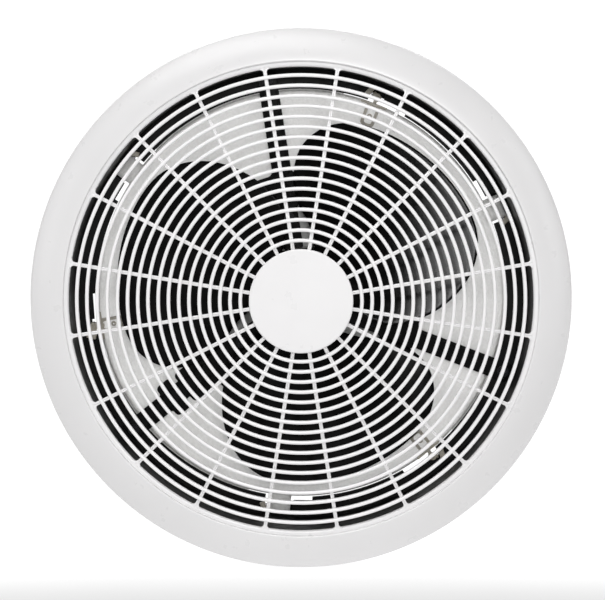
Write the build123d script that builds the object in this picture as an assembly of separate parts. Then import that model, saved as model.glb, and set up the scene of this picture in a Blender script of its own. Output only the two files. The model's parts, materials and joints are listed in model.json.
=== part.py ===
from build123d import *
import os
from math import cos, radians, sin, sqrt

# A round exhaust fan for a wall or a ceiling, in millimetres.
# The fan's axis is Y. The room is on the -Y side and the air leaves on the +Y side, +Z is up, and
# the origin is the centre of the mounting plane. Angles run from +X towards +Z, seen from the room.

# Fascia: a white bezel around a domed grille of rings and spokes.
BEZEL_RADIUS = 178.0
BEZEL_INNER_RADIUS = 155.3
BEZEL_SKIN = 2.5
BEZEL_CREST_Y = -15.4
GRILLE_OPENING = 152.0
GRILLE_RIM_RADIUS = 158.5
DOME_Y = -26.8
DOME_RADIUS = 924.0
RING_COUNT = 17
RING_FIRST = 39.5
RING_PITCH = 6.69
RING_WIDTH = 2.45
RING_DEPTH = 4.2
SPOKE_COUNT = 20
SPOKE_START = 9.0
SPOKE_WIDTH = 2.5
SPOKE_BEHIND = 1.6
SPOKE_DEPTH = 3.0
CAP_RADIUS = 33.9
CAP_Y = -28.0
LEG_ANGLES = (60.0, 180.0, 300.0)
LEG_RADIUS = 160.5
LEG_WIDTH = 14.0

# Housing: a round wall with a flange on the mounting plane and a floor around the outlet.
HOUSING_RADIUS = 154.5
HOUSING_WALL = 2.5
HOUSING_FRONT_Y = -9.0
FLANGE_RADIUS = 171.0
FLANGE_THICKNESS = 3.0
FLOOR_Y = 48.0
FLOOR_BACK_Y = 51.0
OUTLET_RADIUS = 138.4
POCKET_Y = 53.0
POCKET_BACK_Y = 54.5
POCKET_COVER_RADIUS = 142.8
TAB_CORNER_ANGLE = 25.4
RELIEF_RADIUS = 140.6
RELIEF_ANGLE = 17.3
RELIEF_WIDTH = 19.0
FLANGE_HOLE_RADIUS = 2.5
FLANGE_HOLE_CIRCLE = 163.0
FLANGE_HOLE_ANGLES = (15.0, 105.0, 195.0, 285.0)
GASKET_OUTER = 169.5
GASKET_INNER = 166.5
GASKET_DEPTH = 1.5

# Motor bracket: three arms and a ring, one of the arms with a lead pad and a gusset.
ARM_ANGLES = (99.0, 219.0, 339.0)
LEAD_ARM_ANGLE = 219.0
ARM_WIDTH = 13.0
ARM_END = 150.5
BRACKET_THICKNESS = 3.0
BRACKET_Y = FLOOR_Y - BRACKET_THICKNESS
BRACKET_RING_OUTER = 82.0
BRACKET_RING_INNER = 62.0
BRACKET_HUB_OUTER = 22.0
BRACKET_HUB_INNER = 10.0
RIB_HEIGHT = 1.0
RIB_WIDTH = 1.2
BRACKET_SCREW_CIRCLE = 146.0
MOTOR_SCREW_CIRCLE = 52.0

# Impeller: three wide petals on a cup-shaped hub.
BLADE_COUNT = 3
HUB_RADIUS = 33.0
HUB_FRONT_Y = 8.0
HUB_BACK_Y = 41.0
BLADE_MID_Y = 27.3
BLADE_MID_ANGLE = 37.5
BLADE_RISE = 0.265
BLADE_ROOT_THICKNESS = 3.0
BLADE_TIP_THICKNESS = 1.8
BLADE_OUTLINE = (
    (70, 30), (84, 48), (92, 62), (93.3, 84), (90.5, 98), (85, 109.5), (78, 117.5), (68, 121.6),
    (50, 124.4), (31, 126), (18, 123.8), (7, 113), (-2.5, 97), (-11.5, 78), (-17.5, 62),
    (-17, 46), (-2, 30), (35, 25),
)

# Motor: a light-grey induction motor behind the bracket, on an 8 mm shaft in bronze bushes.
SHAFT_RADIUS = 4.0
RUNNING_CLEARANCE = 0.04
MOTOR_RADIUS = 66.0
MOTOR_SKIN = 3.0
MOTOR_FRONT_Y = 50.5
MOTOR_SPLIT_Y = 66.0
MOTOR_BACK_Y = 104.0
CORE_FRONT_Y = 62.0
CORE_BACK_Y = 90.0
STATOR_RADIUS = 55.0
ROTOR_RADIUS = 35.4
AIR_GAP = 0.5
SLOT_COUNT = 12
COVER_BOLT_CIRCLE = 59.5
COVER_BOLT_ANGLES = (39.0, 159.0, 279.0)
BUSH_RADIUS = 7.0
BUSH_SEAT_RADIUS = 9.5
CLIP_PLACES = (57.3, 91.9)

# Shutter: three flaps in the outlet, each on a hinge line 131.2 mm from the fan's axis.
FLAPS = (("upper_left", 99.0), ("lower", 219.0), ("upper_right", 339.0))
FLAP_SPAN = 120.0
HINGE_FROM_START = 67.5
HINGE_DISTANCE = 131.2
HINGE_Y = 49.5
HINGE_SPREAD = 22.5
FLAP_OUTER = 137.8
FLAP_INNER = 70.0
FLAP_BORDER = 4.2
FLAP_FRONT_Y = 48.4
FLAP_SKIN = 1.8
FLAP_SKIRT_Y = 51.4
FLAP_CORNER = 2.5
SEAL_RADIUS = 140.3
SEAL_Y = (51.2, 52.0)
SEAL_GAP_WIDTH = 144.0
TAB_WIDTH = 15.5
TAB_END = 148.3
PIN_RADIUS = 1.2
PIN_CLEARANCE = 0.06
LUG_SPANS = ((-67.4, -63.9), (59.0, 62.5))
LUG_THICKNESS = 6.4

# Terminal box on the motor's back.
BOX_X = 76.0
BOX_Z = 52.0
BOX_DEPTH = 26.0
BOX_SKIN = 2.2
LID_THICKNESS = 2.5
GLAND_X = 16.0
GLAND_Y = 117.0
CABLE_RADIUS = 3.5
BOX_SCREW_PLACES = ((-30, 14), (30, -14))
LID_SCREW_PLACES = ((-31.5, -19.5), (31.5, 19.5))
EARTH_SCREW_PLACE = (4, -8)
TERMINAL_WAYS = (3, 12, 21)
TERMINAL_SCREW_Z = (7.5, 14.5)


def at(radius, angle):
    """The point at a radius and an angle, in the plane across the fan's axis."""
    return radius * cos(radians(angle)), radius * sin(radians(angle))


def slab(outline, y_front, y_back):
    """A plate with this outline, seen from the room, between two depths."""
    plane = Plane(origin=(0, y_back, 0), x_dir=(1, 0, 0), z_dir=(0, -1, 0))
    return extrude(plane * outline, y_back - y_front)


def ring(outer, inner, y_front, y_back):
    """A round sleeve on the fan's axis."""
    return slab(Circle(outer) - Circle(inner), y_front, y_back)


def post(radius, place, y_front, y_back):
    """A round post along Y at a place in the plane across the axis."""
    return slab(Pos(*place) * Circle(radius), y_front, y_back)


def bar(angle, start, end, width):
    """The outline of a straight bar that lies along a radius."""
    return Rot(0, 0, angle) * Pos((start + end) / 2, 0) * Rectangle(end - start, width)


def turned(shape, angle):
    """A shape turned about the fan's axis, counter-clockwise seen from the room."""
    return Rot(0, -angle, 0) * shape


def dome_y(radius):
    """The depth of the grille's domed front at a radius."""
    return DOME_Y + DOME_RADIUS - sqrt(DOME_RADIUS**2 - radius**2)


def pan_screw(place, head_radius, head_y, head_height, shank_radius, tip_y):
    """A pan-head screw that points away from the room, with a cross recess in its head."""
    head = post(head_radius, place, head_y, head_y + head_height)
    shank = post(shank_radius, place, head_y + head_height, tip_y)
    cross = Rectangle(head_radius * 1.1, 0.9) + Rectangle(0.9, head_radius * 1.1)
    recess = slab(Pos(*place) * cross, head_y, head_y + head_height / 2)
    return head + shank - recess


# Fascia -------------------------------------------------------------------------------------------

def fascia_bezel():
    """The convex white ring, with its snap legs behind."""
    crest = (BEZEL_INNER_RADIUS + 0.9, BEZEL_CREST_Y)
    shoulder = (BEZEL_RADIUS - 1.4, -6.2)
    rear_seat_y = -12.8
    front = [
        Line((BEZEL_INNER_RADIUS, rear_seat_y), (BEZEL_INNER_RADIUS, BEZEL_CREST_Y + 0.9)),
        ThreePointArc(
            (BEZEL_INNER_RADIUS, BEZEL_CREST_Y + 0.9),
            (BEZEL_INNER_RADIUS + 0.26, BEZEL_CREST_Y + 0.26),
            crest,
        ),
        ThreePointArc(crest, (167.0, -12.2), shoulder),
        ThreePointArc(shoulder, (BEZEL_RADIUS - 0.4, -4.7), (BEZEL_RADIUS, -3.0)),
        Line((BEZEL_RADIUS, -3.0), (BEZEL_RADIUS, 0)),
    ]
    inner_wall = BEZEL_RADIUS - BEZEL_SKIN
    back = [
        Line((BEZEL_RADIUS, 0), (inner_wall, 0)),
        Line((inner_wall, 0), (inner_wall, -3.2)),
        ThreePointArc((inner_wall, -3.2), (167.0, -9.6), (160.0, rear_seat_y)),
        Line((160.0, rear_seat_y), (BEZEL_INNER_RADIUS, rear_seat_y)),
    ]
    body = revolve(make_face(front + back), Axis.Y)
    legs = [snap_leg(angle) for angle in LEG_ANGLES]
    return body + legs


def snap_leg(angle):
    """One moulded leg that springs into a slot of the housing's flange."""
    leg = slab(bar(angle, LEG_RADIUS - 1, LEG_RADIUS + 1, LEG_WIDTH), -12.4, 5.0)
    barb = slab(bar(angle, LEG_RADIUS + 1, LEG_RADIUS + 1.8, LEG_WIDTH), 1.2, 4.0)
    return leg + barb


def grille_ring(radius):
    """One round bar of the grille, with a rounded front edge."""
    low, high = radius - RING_WIDTH / 2, radius + RING_WIDTH / 2
    front_y = dome_y(radius)
    back_y = front_y + RING_DEPTH
    profile = [
        ThreePointArc((low, front_y + 1.0), (radius, front_y), (high, front_y + 1.0)),
        Line((high, front_y + 1.0), (high, back_y)),
        Line((high, back_y), (low, back_y)),
        Line((low, back_y), (low, front_y + 1.0)),
    ]
    return revolve(make_face(profile), Axis.Y)


def grille_spoke():
    """One spoke along +X that follows the dome behind the rings."""
    start, end = CAP_RADIUS - 2.0, GRILLE_OPENING + 1.0
    middle = (start + end) / 2
    profile = []
    points = []
    for behind in (SPOKE_BEHIND, SPOKE_BEHIND + SPOKE_DEPTH):
        ends = [(r, dome_y(r) + behind) for r in (start, middle, end)]
        profile.append(ThreePointArc(*ends))
        points.append((ends[0], ends[2]))
    profile.append(Line(points[0][0], points[1][0]))
    profile.append(Line(points[0][1], points[1][1]))
    return extrude(make_face(profile), SPOKE_WIDTH / 2, both=True)


def grille():
    """Rings, spokes, rim and centre plate, moulded in one."""
    rings = [grille_ring(RING_FIRST + RING_PITCH * i) for i in range(RING_COUNT)]
    spoke = grille_spoke()
    step = 360 / SPOKE_COUNT
    spokes = [turned(spoke, SPOKE_START + step * i) for i in range(SPOKE_COUNT)]
    rim = ring(GRILLE_RIM_RADIUS, GRILLE_OPENING, -12.8, -10.3)
    plate = ring(CAP_RADIUS - 0.5, 5.0, CAP_Y + 1.4, CAP_Y + 4.4)
    return rim + spokes + rings + plate


def centre_cap():
    """The blank disc over the grille's centre, on a peg."""
    disc = slab(Circle(CAP_RADIUS), CAP_Y, CAP_Y + 1.4)
    disc = fillet(disc.edges().group_by(Axis.Y)[0], 0.9)
    peg = slab(Circle(4.8), CAP_Y + 1.4, CAP_Y + 5.4)
    return disc + peg


# Housing ------------------------------------------------------------------------------------------

def hinge_place(hinge_angle, along, outward=0.0):
    """A point beside a hinge line: along the line, and outward from it."""
    radial, tangent = at(1, hinge_angle), at(1, hinge_angle + 90)
    reach = HINGE_DISTANCE + outward
    return tuple(radial[i] * reach + tangent[i] * along for i in range(2))


def hinge_block(hinge_angle, start, end, thickness, y_front, y_back):
    """A block across a hinge line, between two places along it."""
    middle = hinge_place(hinge_angle, (start + end) / 2)
    outline = Pos(*middle) * Rot(0, 0, hinge_angle) * Rectangle(thickness, end - start)
    return slab(outline, y_front, y_back)


def hinge_rod(hinge_angle, start, end, radius):
    """A rod on a hinge line, between two places along it."""
    x, z = hinge_place(hinge_angle, start)
    tangent = at(1, hinge_angle + 90)
    plane = Plane(origin=(x, HINGE_Y, z), z_dir=(tangent[0], 0, tangent[1]))
    return extrude(plane * Circle(radius), end - start)


def hinge_angles():
    """The direction of each flap's hinge line."""
    return [start + HINGE_FROM_START for _, start in FLAPS]


def mounting_flange():
    """The flat ring on the mounting plane, with its groove, screw holes and leg slots."""
    flange = ring(FLANGE_RADIUS, HOUSING_RADIUS, -FLANGE_THICKNESS, 0)
    cuts = [ring(GASKET_OUTER, GASKET_INNER, -GASKET_DEPTH, 0)]
    for angle in FLANGE_HOLE_ANGLES:
        cuts.append(post(FLANGE_HOLE_RADIUS, at(FLANGE_HOLE_CIRCLE, angle), -FLANGE_THICKNESS, 0))
    for angle in LEG_ANGLES:
        cuts.append(slab(bar(angle, 158.7, 163.6, LEG_WIDTH + 1), -FLANGE_THICKNESS, 0))
    return flange - cuts


def housing():
    """The round wall through the cut-out."""
    return ring(HOUSING_RADIUS, HOUSING_RADIUS - HOUSING_WALL, HOUSING_FRONT_Y, FLOOR_BACK_Y)


def outlet_plate():
    """The housing's floor: pockets and reliefs for the hinges, and bosses for the bracket."""
    plate = ring(HOUSING_RADIUS - HOUSING_WALL, OUTLET_RADIUS, FLOOR_Y, FLOOR_BACK_Y)
    boss_back = FLOOR_BACK_Y + 5
    places = [at(BRACKET_SCREW_CIRCLE, angle) for angle in ARM_ANGLES]
    bosses = [post(4.0, place, FLOOR_BACK_Y, boss_back) for place in places]
    cuts = [post(2.0, place, FLOOR_Y, boss_back) for place in places]
    pockets = []
    for angle in hinge_angles():
        tab_pocket = (angle - HINGE_SPREAD, TAB_END + 1.4, TAB_WIDTH + 3.6)
        clip_pocket = (angle + HINGE_SPREAD, 147.0, 10.2)
        for middle, end, width in (tab_pocket, clip_pocket):
            cover = bar(middle, POCKET_COVER_RADIUS, end + 1.5, width + 3)
            pockets.append(slab(cover, FLOOR_BACK_Y, POCKET_BACK_Y))
            cuts.append(slab(bar(middle, 136, end, width), FLOOR_Y, POCKET_Y))
        tab_corner = bar(angle - TAB_CORNER_ANGLE, 142, 146.6, 8)
        cuts.append(slab(tab_corner, FLOOR_Y, POCKET_BACK_Y))
        for middle in (angle - RELIEF_ANGLE, angle + RELIEF_ANGLE):
            cuts.append(slab(bar(middle, 136, RELIEF_RADIUS, RELIEF_WIDTH), FLOOR_Y, FLOOR_BACK_Y))
        for start, end in LUG_SPANS:
            cuts.append(hinge_block(angle, start, end, LUG_THICKNESS, FLOOR_Y, POCKET_BACK_Y))
    return plate + bosses + pockets - cuts


def flange_gasket():
    """The foam seal in the flange's groove."""
    return ring(GASKET_OUTER - 0.05, GASKET_INNER + 0.05, -GASKET_DEPTH, 0)


def hinge_lugs():
    """Six nylon blocks on the housing's floor that carry the hinge pins."""
    lugs = []
    for angle in hinge_angles():
        for start, end in LUG_SPANS:
            lug = hinge_block(angle, start, end, LUG_THICKNESS, FLOOR_Y - 2.5, FLOOR_Y + 5.5)
            lugs.append(lug - hinge_rod(angle, start - 1, end + 1, PIN_RADIUS))
    return lugs


def hinge_pins():
    """Six steel pins, one in each lug, that face each other in pairs."""
    pins = []
    for angle in hinge_angles():
        pins.append(hinge_rod(angle, LUG_SPANS[0][0], -50.0, PIN_RADIUS))
        pins.append(hinge_rod(angle, 51.0, LUG_SPANS[1][1], PIN_RADIUS))
    return pins


# Motor bracket ------------------------------------------------------------------------------------

def motor_bracket():
    """Three arms, a ring and a hub ring in one black moulding."""
    outline = Circle(BRACKET_RING_OUTER) - Circle(BRACKET_RING_INNER)
    outline += Circle(BRACKET_HUB_OUTER)
    for angle in ARM_ANGLES:
        outline += bar(angle, 15, ARM_END, ARM_WIDTH)
    lead_pad = Rot(0, 0, LEAD_ARM_ANGLE) * Pos(111, 0) * RectangleRounded(12, 24.5, 5)
    gusset = Rot(0, 0, LEAD_ARM_ANGLE) * Pos(90, 0) * RectangleRounded(24, 23.5, 4)
    outline += lead_pad + gusset
    outline -= Circle(BRACKET_HUB_INNER)
    for angle in ARM_ANGLES:
        outline -= Pos(*at(BRACKET_SCREW_CIRCLE, angle)) * Circle(2.1)
        outline -= Pos(*at(MOTOR_SCREW_CIRCLE, angle)) * Circle(2.1)
    ribs = []
    for angle in ARM_ANGLES:
        for side in (-1, 1):
            offset = side * (ARM_WIDTH / 2 - RIB_WIDTH / 2 - 1.2)
            rib = Rot(0, 0, angle) * Pos(110, offset) * Rectangle(56, RIB_WIDTH)
            ribs.append(slab(rib, BRACKET_Y - RIB_HEIGHT, BRACKET_Y))
    return slab(outline, BRACKET_Y, FLOOR_Y) + ribs


def bracket_screws():
    """The screws that hold the arms on the housing's floor."""
    return [
        pan_screw(at(BRACKET_SCREW_CIRCLE, angle), 3.8, BRACKET_Y - 2.4, 2.4, 1.95, FLOOR_Y + 7.5)
        for angle in ARM_ANGLES
    ]


def motor_screws():
    """The screws that hold the motor behind the bracket's arms."""
    return [
        pan_screw(at(MOTOR_SCREW_CIRCLE, angle), 3.6, BRACKET_Y - 2.0, 2.0, 1.95, MOTOR_FRONT_Y + 6)
        for angle in ARM_ANGLES
    ]


def rubber_mounts():
    """The rubber washers between the bracket and the motor."""
    return [
        post(6.5, at(MOTOR_SCREW_CIRCLE, angle), FLOOR_Y, MOTOR_FRONT_Y)
        - post(2.1, at(MOTOR_SCREW_CIRCLE, angle), FLOOR_Y, MOTOR_FRONT_Y)
        for angle in ARM_ANGLES
    ]


# Motor --------------------------------------------------------------------------------------------

def motor_front_cover():
    """The cup that faces the room, with the front bush's seat."""
    plate_back = MOTOR_FRONT_Y + MOTOR_SKIN
    cup = slab(Circle(MOTOR_RADIUS), MOTOR_FRONT_Y, MOTOR_SPLIT_Y)
    cup -= slab(Circle(MOTOR_RADIUS - MOTOR_SKIN), plate_back, MOTOR_SPLIT_Y)
    cup += slab(Circle(BUSH_SEAT_RADIUS), BRACKET_Y + 1.2, plate_back + 3)
    ears = [post(4.0, at(COVER_BOLT_CIRCLE, a), plate_back, MOTOR_SPLIT_Y) for a in COVER_BOLT_ANGLES]
    bosses = [post(4.5, at(MOTOR_SCREW_CIRCLE, a), plate_back, plate_back + 3.5) for a in ARM_ANGLES]
    cup = cup + ears + bosses
    cuts = [slab(Circle(BUSH_RADIUS), BRACKET_Y, plate_back + 4)]
    cuts += [post(2.1, at(COVER_BOLT_CIRCLE, a), plate_back, MOTOR_SPLIT_Y) for a in COVER_BOLT_ANGLES]
    cuts += [post(2.0, at(MOTOR_SCREW_CIRCLE, a), MOTOR_FRONT_Y, plate_back + 3.5) for a in ARM_ANGLES]
    return cup - cuts


def motor_rear_cover():
    """The deeper cup that faces the outlet, with the rear bush's seat."""
    plate_front = MOTOR_BACK_Y - MOTOR_SKIN
    cup = slab(Circle(MOTOR_RADIUS), MOTOR_SPLIT_Y, MOTOR_BACK_Y)
    cup -= slab(Circle(MOTOR_RADIUS - MOTOR_SKIN), MOTOR_SPLIT_Y, plate_front)
    cup += slab(Circle(BUSH_SEAT_RADIUS), 93.6, plate_front)
    ears = [post(4.0, at(COVER_BOLT_CIRCLE, a), MOTOR_SPLIT_Y, plate_front) for a in COVER_BOLT_ANGLES]
    cup = cup + ears
    cuts = [slab(Circle(BUSH_RADIUS), 93.6, plate_front)]
    cuts += [post(2.1, at(COVER_BOLT_CIRCLE, a), MOTOR_SPLIT_Y, MOTOR_BACK_Y) for a in COVER_BOLT_ANGLES]
    cuts += [post(1.7, place, plate_front, MOTOR_BACK_Y) for place in BOX_SCREW_PLACES]
    return cup - cuts


def cover_bolts():
    """Three long bolts, entered from the back, that clamp the covers together."""
    bolts = []
    for angle in COVER_BOLT_ANGLES:
        place = at(COVER_BOLT_CIRCLE, angle)
        head = post(3.6, place, MOTOR_BACK_Y, MOTOR_BACK_Y + 2.6)
        bolts.append(head + post(2.0, place, MOTOR_FRONT_Y + MOTOR_SKIN + 1, MOTOR_BACK_Y))
    return bolts


def slot_bars(width, low, high, y_front, y_back):
    """A bar in each of the stator's slots."""
    step = 360 / SLOT_COUNT
    return [slab(bar(step * i, low, high, width), y_front, y_back) for i in range(SLOT_COUNT)]


def stator_core():
    """The stack of steel sheets with open slots."""
    core = ring(STATOR_RADIUS, ROTOR_RADIUS + AIR_GAP, CORE_FRONT_Y, CORE_BACK_Y)
    mouths = slot_bars(2.5, ROTOR_RADIUS - 1, 40, CORE_FRONT_Y, CORE_BACK_Y)
    slots = slot_bars(8.0, 39, 48, CORE_FRONT_Y, CORE_BACK_Y)
    return core - (mouths + slots)


def stator_windings():
    """The copper in the slots and the coil heads at both ends."""
    coils = slot_bars(7.6, 39.2, 47.8, CORE_FRONT_Y - 1, CORE_BACK_Y + 1)
    front_head = ring(51, 38.5, 57.4, CORE_FRONT_Y - 0.3)
    back_head = ring(51, 38.5, CORE_BACK_Y + 0.3, 96.0)
    return front_head + back_head + coils


def front_bush():
    """The bronze sleeve bearing at the room end."""
    return ring(BUSH_RADIUS - 0.02, SHAFT_RADIUS + RUNNING_CLEARANCE, BRACKET_Y + 1.2, 56.5)


def rear_bush():
    """The bronze sleeve bearing at the outlet end."""
    return ring(BUSH_RADIUS - 0.02, SHAFT_RADIUS + RUNNING_CLEARANCE, 93.6, MOTOR_BACK_Y - MOTOR_SKIN)


def motor_shaft():
    """The steel shaft, grooved for two clips and drilled for the drive pin."""
    shaft = slab(Circle(SHAFT_RADIUS), 2.6, 100.0)
    grooves = [ring(SHAFT_RADIUS + 1, 3.4, y, y + 0.9) for y in CLIP_PLACES]
    return shaft - grooves - drive_pin_rod(1.5)


def drive_pin_rod(radius):
    """The cross pin's rod, through the shaft."""
    return extrude(Plane(origin=(-9, 37.5, 0), z_dir=(1, 0, 0)) * Circle(radius), 18)


def drive_pin():
    """The steel cross pin that turns the hub."""
    return drive_pin_rod(1.48)


def shaft_clips():
    """The E-clips that keep the rotor between the bushes."""
    clips = []
    for y in CLIP_PLACES:
        clip = ring(6.6, 3.45, y + 0.05, y + 0.85)
        clips.append(clip - slab(Pos(5, 0) * Rectangle(10, 4.6), y, y + 0.9))
    return clips


def thrust_washers():
    """The washers between the clips and the bushes."""
    return [ring(7.5, SHAFT_RADIUS + 0.05, y, y + 0.5) for y in (56.6, 92.9)]


def rotor_core():
    """The stack of steel sheets on the shaft."""
    return ring(ROTOR_RADIUS, SHAFT_RADIUS, CORE_FRONT_Y, CORE_BACK_Y)


def rotor_cage():
    """The cage's two cast end rings."""
    front = ring(34.4, 26, CORE_FRONT_Y - 3, CORE_FRONT_Y)
    back = ring(34.4, 26, CORE_BACK_Y, CORE_BACK_Y + 3)
    return [front, back]


# Impeller -----------------------------------------------------------------------------------------

def blade_section(angle):
    """The blade sheet's cut by the radial plane at an angle."""
    y = BLADE_MID_Y + BLADE_RISE * (angle - BLADE_MID_ANGLE)
    corners = []
    for radius, half in ((29.5, BLADE_ROOT_THICKNESS / 2), (128.0, BLADE_TIP_THICKNESS / 2)):
        x, z = at(radius, angle)
        corners.append(((x, y - half, z), (x, y + half, z)))
    loop = (corners[0][0], corners[1][0], corners[1][1], corners[0][1])
    return make_face(Polyline(*loop, close=True))


def blade():
    """One petal: a helical sheet trimmed to the petal's outline."""
    sheet = loft([blade_section(-26 + 16 * i) for i in range(9)])
    petal = make_face(Spline(*[at(r, a) for a, r in BLADE_OUTLINE], periodic=True))
    return sheet & slab(petal, 0, 60)


def impeller():
    """Hub, ribs and petals in one black moulding."""
    hub = slab(Circle(HUB_RADIUS), HUB_FRONT_Y, HUB_BACK_Y)
    hub = fillet(hub.edges().group_by(Axis.Y)[0], 3.0)
    hub -= slab(Circle(HUB_RADIUS - 3), HUB_FRONT_Y + 3, HUB_BACK_Y)
    boss = slab(Circle(9.5), HUB_FRONT_Y + 3, 39.0)
    ribs = [slab(bar(60 * i + 30, 8, HUB_RADIUS - 2, 1.8), HUB_FRONT_Y + 2, 34.0) for i in range(6)]
    petal = blade()
    petals = [turned(petal, 120 * i) for i in range(BLADE_COUNT)]
    body = hub + boss + ribs + petals
    bore = slab(Circle(SHAFT_RADIUS + 0.03), HUB_FRONT_Y - 1, 40)
    pin_slot = slab(Rectangle(30, 3.1), 35.9, 39.0) & slab(Circle(9.6), 35.9, 39.0)
    return body - [bore, pin_slot]


def hub_washer():
    """The steel washer between the hub and its nut."""
    return ring(10, SHAFT_RADIUS + 0.1, HUB_FRONT_Y - 0.8, HUB_FRONT_Y)


def impeller_nut():
    """The lobed nut on the shaft's end."""
    lobes = Circle(11.0)
    for i in range(9):
        lobes += Pos(*at(10.4, 40 * i)) * Circle(2.2)
    nut = slab(lobes, 1.0, HUB_FRONT_Y - 0.8)
    return nut - slab(Circle(SHAFT_RADIUS), 2.4, HUB_FRONT_Y - 0.8)


# Shutter ------------------------------------------------------------------------------------------

def flap_wedge(start):
    """The sector between two arms, less a border along each."""
    middle = start + FLAP_SPAN / 2
    apex = at(FLAP_BORDER / sin(radians(FLAP_SPAN / 2)), middle)
    reach = 400
    corners = [apex]
    for angle in (start, middle, start + FLAP_SPAN):
        x, z = at(reach, angle)
        corners.append((apex[0] + x, apex[1] + z))
    return make_face(Polyline(*corners, close=True))


def flap_outline(start):
    """A third of a ring between two arms, with rounded outer corners."""
    outline = (Circle(FLAP_OUTER) - Circle(FLAP_INNER)) & flap_wedge(start)
    outer = [v for v in outline.vertices() if Vector(v.X, v.Y, 0).length > FLAP_OUTER - 3]
    return fillet(outer, FLAP_CORNER)


def flap_seal(start):
    """The thin lip behind the outlet's edge, except where the hinge swings the edge forward."""
    lip = (Circle(SEAL_RADIUS) - Circle(FLAP_OUTER - 1.6)) & flap_wedge(start)
    lip -= bar(start + HINGE_FROM_START, FLAP_INNER, 160, SEAL_GAP_WIDTH)
    return slab(lip, *SEAL_Y)


def flap(start):
    """A shallow tray with its skirt and lip behind, and the hinge tab on its outer edge."""
    outline = flap_outline(start)
    hinge_angle = start + HINGE_FROM_START
    tab_angle = hinge_angle - HINGE_SPREAD
    tray = slab(outline, FLAP_FRONT_Y, FLAP_SKIRT_Y)
    hollow = offset(outline, -1.6)
    tray -= slab(hollow, FLAP_FRONT_Y + FLAP_SKIN, FLAP_SKIRT_Y)
    tab_outline = bar(tab_angle, FLAP_OUTER - 2.5, TAB_END, TAB_WIDTH)
    tab_inside = bar(tab_angle, FLAP_OUTER - 4, TAB_END - 1.6, TAB_WIDTH - 3.2)
    tab = slab(tab_outline, FLAP_FRONT_Y - 1.4, FLAP_SKIRT_Y)
    tab -= slab(tab_inside, FLAP_FRONT_Y + 0.4, FLAP_SKIRT_Y)
    tray = tray + tab + flap_seal(start)
    return tray - hinge_rod(hinge_angle, -68, -46.5, PIN_RADIUS + PIN_CLEARANCE)


def hinge_clip(start):
    """The nylon clip: an eyelet and a knuckle on the hinge line, and a loop on the flap."""
    hinge_angle = start + HINGE_FROM_START
    clip_angle = hinge_angle + HINGE_SPREAD
    front = FLAP_FRONT_Y - 1.2
    loop = bar(clip_angle, 121.5, 137.5, 9.6) - bar(clip_angle, 123.7, 135.2, 5.2)
    neck = bar(clip_angle, 135, 140.2, 2.6)
    wings = bar(clip_angle, 135.9, FLAP_OUTER - 0.2, 19)
    eye_centre = Rot(0, 0, clip_angle) * Pos(142, 0)
    strap = slab(loop + neck + wings + eye_centre * Circle(2.8), front, FLAP_FRONT_Y)
    knuckle = hinge_rod(hinge_angle, 51.6, 58.0, 2.4)
    web = slab(eye_centre * Circle(2.4), FLAP_FRONT_Y, HINGE_Y)
    eye = slab(eye_centre * Circle(1.4), front - 1, front + 0.9)
    pin_hole = hinge_rod(hinge_angle, 50, 60, PIN_RADIUS + PIN_CLEARANCE)
    return strap + web + knuckle - [eye, pin_hole]


# Terminal box -------------------------------------------------------------------------------------

def block(low, high):
    """A rectangular block between two corners."""
    sizes = [high[i] - low[i] for i in range(3)]
    centre = [(high[i] + low[i]) / 2 for i in range(3)]
    return Pos(*centre) * Box(*sizes)


def down_post(radius, z_top, z_bottom):
    """A round post along Z on the cable gland's axis."""
    plane = Plane(origin=(GLAND_X, GLAND_Y, z_bottom))
    return extrude(plane * Circle(radius), z_top - z_bottom)


def terminal_box():
    """The open box on the motor's back, with two posts for the lid's screws."""
    y_open = MOTOR_BACK_Y + BOX_DEPTH
    outer = slab(RectangleRounded(BOX_X, BOX_Z, 4), MOTOR_BACK_Y, y_open)
    inner = RectangleRounded(BOX_X - 2 * BOX_SKIN, BOX_Z - 2 * BOX_SKIN, 2.5)
    body = outer - slab(inner, MOTOR_BACK_Y + BOX_SKIN, y_open)
    posts = [post(4.2, place, MOTOR_BACK_Y + 1, y_open) for place in LID_SCREW_PLACES]
    body = body + posts
    cuts = [post(1.6, place, y_open - 12, y_open) for place in LID_SCREW_PLACES]
    cuts += [post(1.7, place, MOTOR_BACK_Y, MOTOR_BACK_Y + BOX_SKIN) for place in BOX_SCREW_PLACES]
    cuts.append(post(1.7, EARTH_SCREW_PLACE, MOTOR_BACK_Y, MOTOR_BACK_Y + BOX_SKIN))
    cuts.append(down_post(6.1, -BOX_Z / 2 + BOX_SKIN, -BOX_Z / 2))
    return body - cuts


def terminal_box_lid():
    """The lid, with countersunk screw seats."""
    y = MOTOR_BACK_Y + BOX_DEPTH
    lid = slab(RectangleRounded(BOX_X, BOX_Z, 4), y, y + LID_THICKNESS)
    lid = chamfer(lid.edges().group_by(Axis.Y)[-1], 0.8)
    return lid - [post(1.8, place, y, y + LID_THICKNESS) for place in LID_SCREW_PLACES]


def rear_screw(place, head_y, head_radius, head_height, shank_radius, length):
    """A screw entered from behind, with its head on the outlet side."""
    head_back = head_y + head_height
    head = post(head_radius, place, head_y, head_back)
    recess = slab(Pos(*place) * Rectangle(head_radius * 1.4, 0.8), head_back - 0.9, head_back)
    return head + post(shank_radius, place, head_y - length, head_y) - recess


def lid_screws():
    """The screws that hold the lid."""
    y = MOTOR_BACK_Y + BOX_DEPTH + LID_THICKNESS
    return [rear_screw(place, y, 3.0, 1.8, 1.55, 11) for place in LID_SCREW_PLACES]


def terminal_box_screws():
    """The screws that hold the box on the motor."""
    y = MOTOR_BACK_Y + BOX_SKIN
    return [rear_screw(place, y, 3.0, 1.8, 1.6, 4.6) for place in BOX_SCREW_PLACES]


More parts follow.
